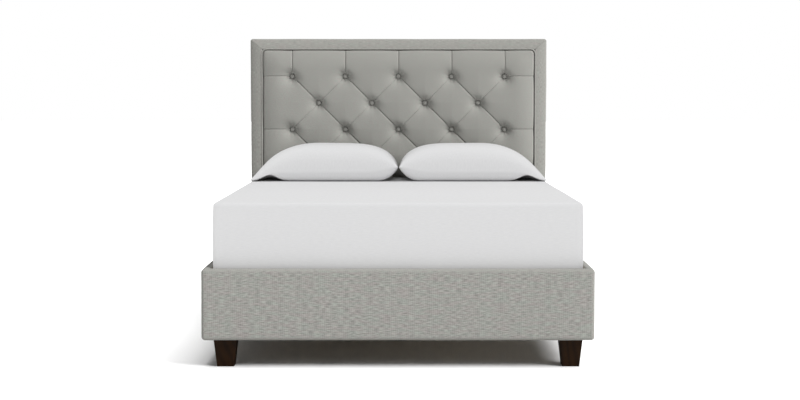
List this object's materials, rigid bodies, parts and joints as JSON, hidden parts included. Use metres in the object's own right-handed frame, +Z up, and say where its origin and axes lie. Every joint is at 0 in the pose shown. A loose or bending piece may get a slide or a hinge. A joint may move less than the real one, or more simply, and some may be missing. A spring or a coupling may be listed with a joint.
{
  "type": "upholstered headboard bed",
  "caption": "Double bed with a tall diamond-tufted padded headboard, a padded box base on tapered wooden legs, a slatted deck, a mattress in a fitted sheet, and pillows.",
  "frame": {"origin": "on the floor, under the middle of the bed's overall length and width", "axes": "+Y from the foot to the headboard, +X to the right seen from the foot, +Z up"},
  "size_m": [1.6, 2.17, 1.408],
  "materials": {
    "upholstery": "woven grey polyester cloth with a pebbly two-tone weave",
    "dust_cover": "thin black non-woven cloth",
    "leg_wood": "espresso-stained solid wood, satin lacquer",
    "frame_timber": "planed raw pine",
    "slat_wood": "planed raw pine with eased edges",
    "plywood": "raw plywood",
    "bracket_steel": "black powder-coated steel",
    "glide_plastic": "moulded black nylon",
    "mattress_ticking": "knitted white ticking",
    "bed_linen": "plain white cotton percale"
  },
  "bodies": {
    "bed_frame": {"border_left": "upholstery", "border_right": "upholstery", "border_top": "upholstery", "centre_beam": "frame_timber", "centre_leg_front": "frame_timber", "centre_leg_rear": "frame_timber", "corner_bracket_front_left": "bracket_steel", "corner_bracket_front_right": "bracket_steel", "corner_bracket_rear_left": "bracket_steel", "corner_bracket_rear_right": "bracket_steel", "footboard_board": "frame_timber", "footboard_cover": "upholstery", "headboard_back_cover": "dust_cover", "headboard_backing": "plywood", "headboard_bottom_rail": "frame_timber", "headboard_lower_panel": "upholstery", "headboard_post_left": "frame_timber", "headboard_post_right": "frame_timber", "headboard_top_rail": "frame_timber", "leg_front_left": "leg_wood", "leg_front_right": "leg_wood", "leg_rear_left": "leg_wood", "leg_rear_right": "leg_wood", "side_rail_board_left": "frame_timber", "side_rail_board_right": "frame_timber", "side_rail_cover_left": "upholstery", "side_rail_cover_right": "upholstery", "slat_01": "slat_wood", "slat_02": "slat_wood", "slat_03": "slat_wood", "slat_04": "slat_wood", "slat_05": "slat_wood", "slat_06": "slat_wood", "slat_07": "slat_wood", "slat_08": "slat_wood", "slat_09": "slat_wood", "slat_10": "slat_wood", "slat_ledger_left": "frame_timber", "slat_ledger_right": "frame_timber", "tuft_button_r1_1": "upholstery", "tuft_button_r1_2": "upholstery", "tuft_button_r1_3": "upholstery", "tuft_button_r1_4": "upholstery", "tuft_button_r1_5": "upholstery", "tuft_button_r2_1": "upholstery", "tuft_button_r2_2": "upholstery", "tuft_button_r2_3": "upholstery", "tuft_button_r2_4": "upholstery", "tuft_button_r3_1": "upholstery", "tuft_button_r3_2": "upholstery", "tuft_button_r3_3": "upholstery", "tuft_button_r3_4": "upholstery", "tuft_button_r3_5": "upholstery", "tufted_panel": "upholstery"},
    "mattress": {"mattress": "mattress_ticking", "fitted_sheet": "bed_linen"},
    "pillow_left": {"pillow_left": "bed_linen"},
    "pillow_right": {"pillow_right": "bed_linen"},
    "glide_front": {"levelling_glide_front": "glide_plastic"},
    "glide_rear": {"levelling_glide_rear": "glide_plastic"}
  },
  "joints": [
    {"name": "mattress_lift", "type": "slide", "parent": "bed_frame", "child": "mattress", "axis": [0, 0, 1], "range_m": [0, 0.4]},
    {"name": "pillow_left_lift", "type": "slide", "parent": "mattress", "child": "pillow_left", "axis": [0, 0, 1], "range_m": [0, 0.3]},
    {"name": "pillow_right_lift", "type": "slide", "parent": "mattress", "child": "pillow_right", "axis": [0, 0, 1], "range_m": [0, 0.3]},
    {"name": "glide_front_height", "type": "slide", "parent": "bed_frame", "child": "glide_front", "axis": [0, 0, 1], "range_m": [-0.012, 0.01]},
    {"name": "glide_rear_height", "type": "slide", "parent": "bed_frame", "child": "glide_rear", "axis": [0, 0, 1], "range_m": [-0.012, 0.01]}
  ]
}
